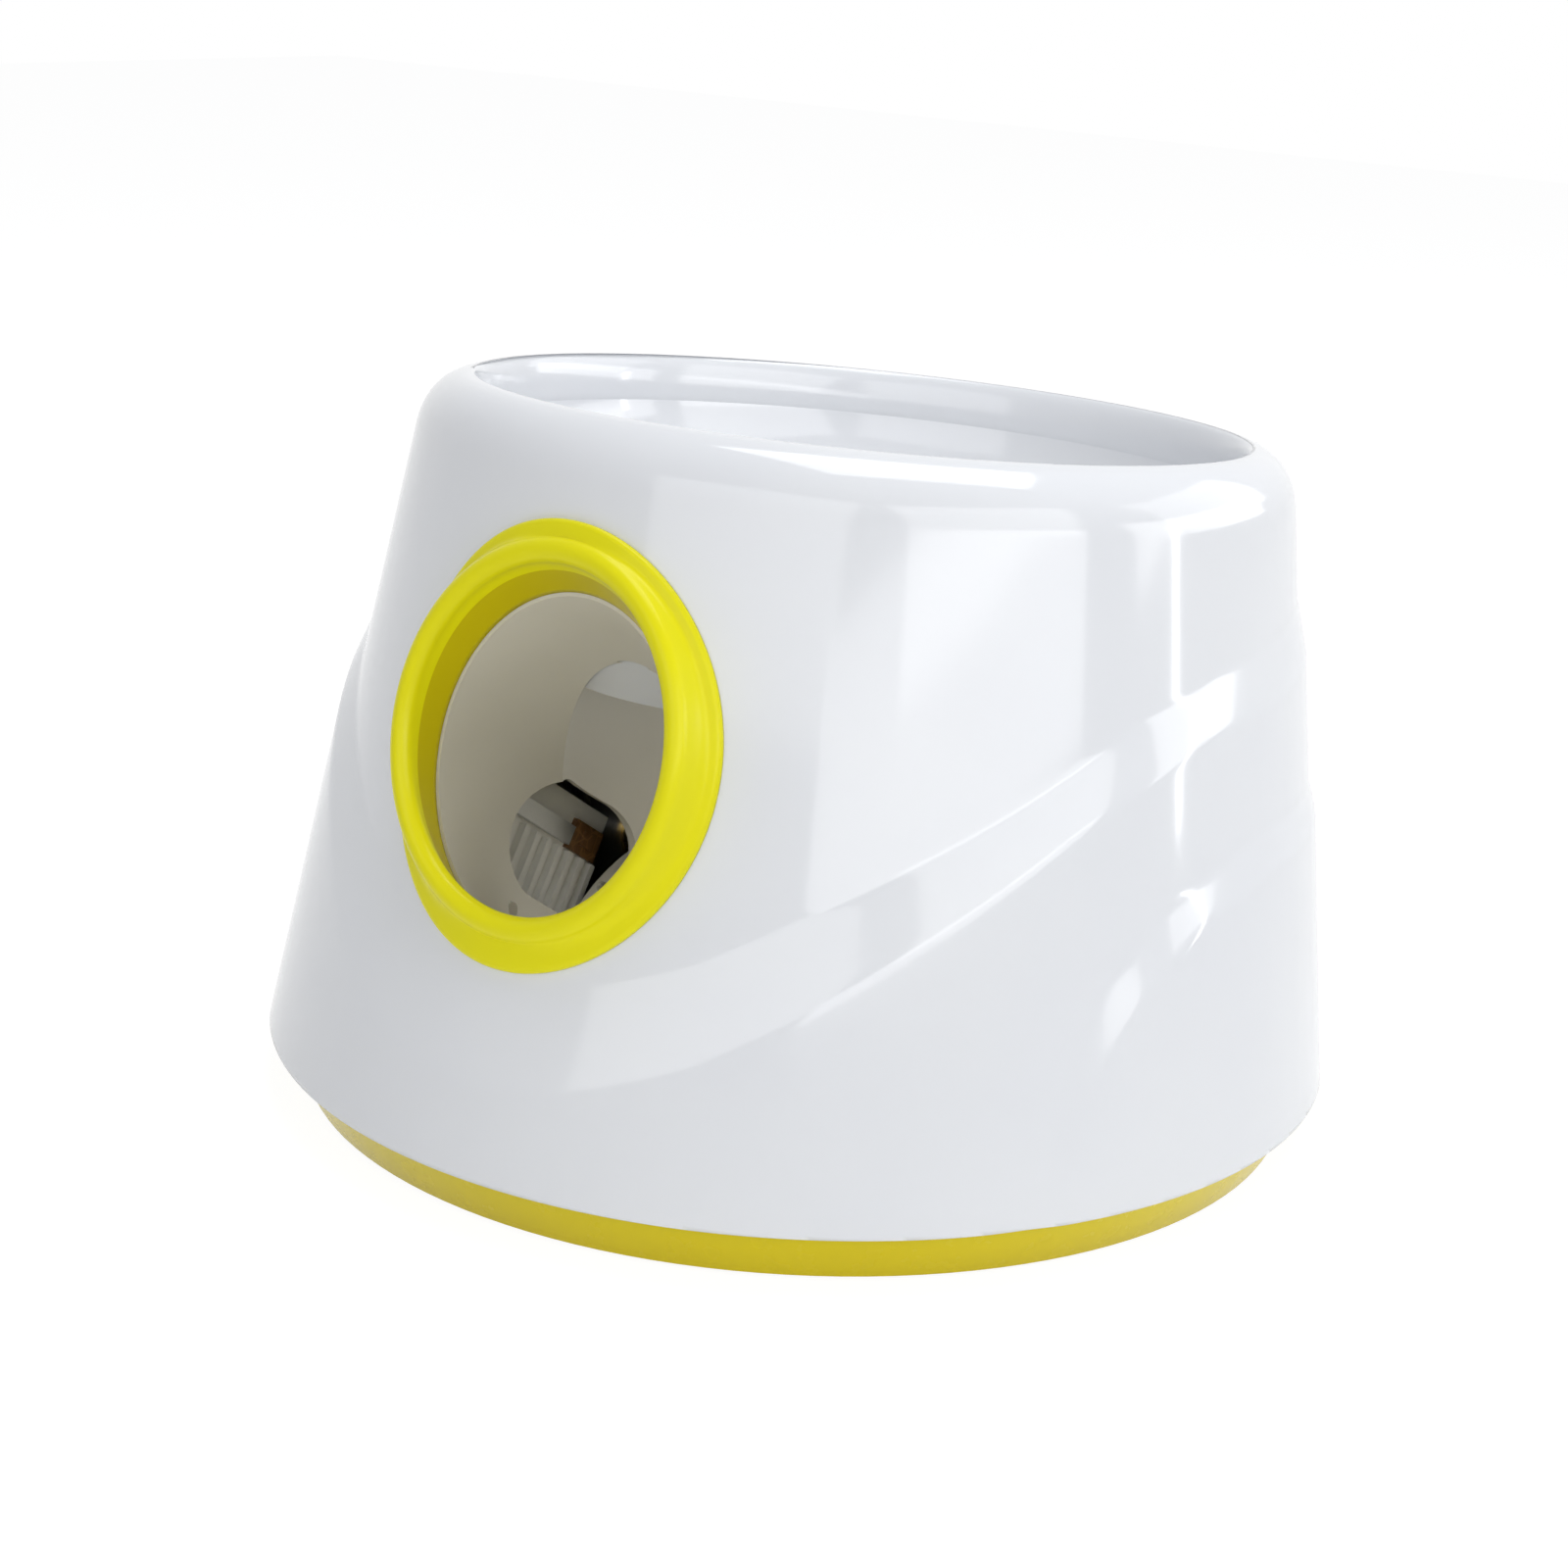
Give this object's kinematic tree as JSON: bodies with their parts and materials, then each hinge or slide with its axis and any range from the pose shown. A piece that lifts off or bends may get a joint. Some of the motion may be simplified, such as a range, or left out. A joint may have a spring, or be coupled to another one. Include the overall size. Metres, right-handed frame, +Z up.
{
  "type": "automatic dog ball launcher",
  "caption": "Free-standing ball launcher: leaning tapered housing with a sweeping edge, open ball hopper, ringed launch port, and a spring hammer drawn by a geared motor.",
  "frame": {"origin": "on the floor, under the middle of the foot", "axes": "+Z up, the launch port faces -Y, the control panel faces +Y, +X is the right side seen from the port's front towards +Y"},
  "size_m": [0.2864, 0.2874, 0.1914],
  "materials": {
    "white_shell": "glossy moulded white",
    "yellow_trim": "glossy moulded lime yellow",
    "chamber_plastic": "off-white moulded",
    "black_rubber": "matt",
    "screw_steel": "zinc plated",
    "bar_metal": "satin",
    "brown_board": "bare laminate",
    "dark_plastic": "fine grain",
    "plate_steel": "rolled sheet",
    "bush_brass": "turned",
    "gear_plastic": "natural acetal",
    "spring_steel": "drawn wire",
    "green_board": "solder mask",
    "battery_wrap": "shrink sleeve",
    "panel_plastic": "fine grain grey",
    "button_plastic": "glossy",
    "lens_green": "translucent green"
  },
  "bodies": {
    "housing": {"outer_shell": "white_shell", "hopper": "white_shell", "port_ring": "yellow_trim", "launch_chamber": "chamber_plastic", "end_wall": "chamber_plastic", "base_tray": "yellow_trim", "rubber_feet": "black_rubber", "base_screws": "screw_steel", "hopper_screws": "screw_steel", "end_wall_screws": "screw_steel", "leg_screws": "screw_steel", "side_guard": "chamber_plastic", "guard_bar": "bar_metal", "guard_screws": "screw_steel", "sensor_board": "brown_board", "ball_sensor_emitter": "dark_plastic", "ball_sensor_receiver": "dark_plastic", "gear_plate_inner": "plate_steel", "gear_plate_outer": "plate_steel", "plate_spacers": "plate_steel", "plate_screws": "screw_steel", "shaft_bushes": "bush_brass", "hammer_bracket": "dark_plastic", "bracket_screws": "screw_steel", "spring_bar": "plate_steel", "spring_left": "spring_steel", "spring_right": "spring_steel", "stop_buffer": "black_rubber", "position_sensor": "dark_plastic", "first_axle": "plate_steel", "second_axle": "plate_steel", "drive_motor": "plate_steel", "motor_screws": "screw_steel", "control_board": "green_board", "board_screws": "screw_steel", "board_parts": "dark_plastic", "board_connectors": "chamber_plastic", "buzzer": "dark_plastic", "battery_pack": "battery_wrap", "battery_strap": "dark_plastic", "strap_screws": "screw_steel", "rear_panel": "panel_plastic", "button_board": "green_board", "button_switches": "dark_plastic", "button_board_screws": "screw_steel", "status_lenses": "lens_green", "power_inlet": "dark_plastic"},
    "hammer_assembly": {"hammer": "dark_plastic", "hammer_pad": "black_rubber", "hammer_shaft": "plate_steel", "hammer_gear": "gear_plastic", "hub_pin": "screw_steel"},
    "second_gear": {"second_gear": "gear_plastic"},
    "first_gear": {"first_gear": "gear_plastic"},
    "motor_rotor": {"motor_pinion": "bush_brass", "motor_shaft": "plate_steel"},
    "power_button": {"power_button": "button_plastic", "power_plunger": "dark_plastic"},
    "distance_button": {"distance_button": "button_plastic", "distance_plunger": "dark_plastic"}
  },
  "joints": [
    {"name": "hammer_swing", "type": "hinge", "parent": "housing", "child": "hammer_assembly", "pos_m": [0, -0.011, 0.06006], "axis": [1, 0, 0], "range_deg": [0, 30], "stiffness_Nm_per_rad": 0.3, "springref_deg": -20.05, "deforming": ["spring_left", "spring_right"]},
    {"name": "second_gear_spin", "type": "hinge", "parent": "housing", "child": "second_gear", "pos_m": [0, 0.02136, 0.04428], "axis": [1, 0, 0], "range_deg": [-90, 0]},
    {"name": "first_gear_spin", "type": "hinge", "parent": "housing", "child": "first_gear", "pos_m": [0, 0.05168, 0.05073], "axis": [1, 0, 0], "range_deg": [0, 375]},
    {"name": "motor_spin", "type": "hinge", "parent": "housing", "child": "motor_rotor", "pos_m": [0, 0.07068, 0.03478], "axis": [1, 0, 0], "range_deg": [-1562.5, 0]},
    {"name": "power_press", "type": "slide", "parent": "housing", "child": "power_button", "axis": [0, -1, 0], "range_m": [0, 0.001], "stiffness_N_per_m": 900, "springref_m": -0.0008},
    {"name": "distance_press", "type": "slide", "parent": "housing", "child": "distance_button", "axis": [0, -1, 0], "range_m": [0, 0.001], "stiffness_N_per_m": 900, "springref_m": -0.0008}
  ],
  "couplings": [
    {"joint": "second_gear_spin", "follows": "hammer_swing", "ratio": -3},
    {"joint": "first_gear_spin", "follows": "hammer_swing", "ratio": 12.5},
    {"joint": "motor_spin", "follows": "hammer_swing", "ratio": -52.083}
  ]
}
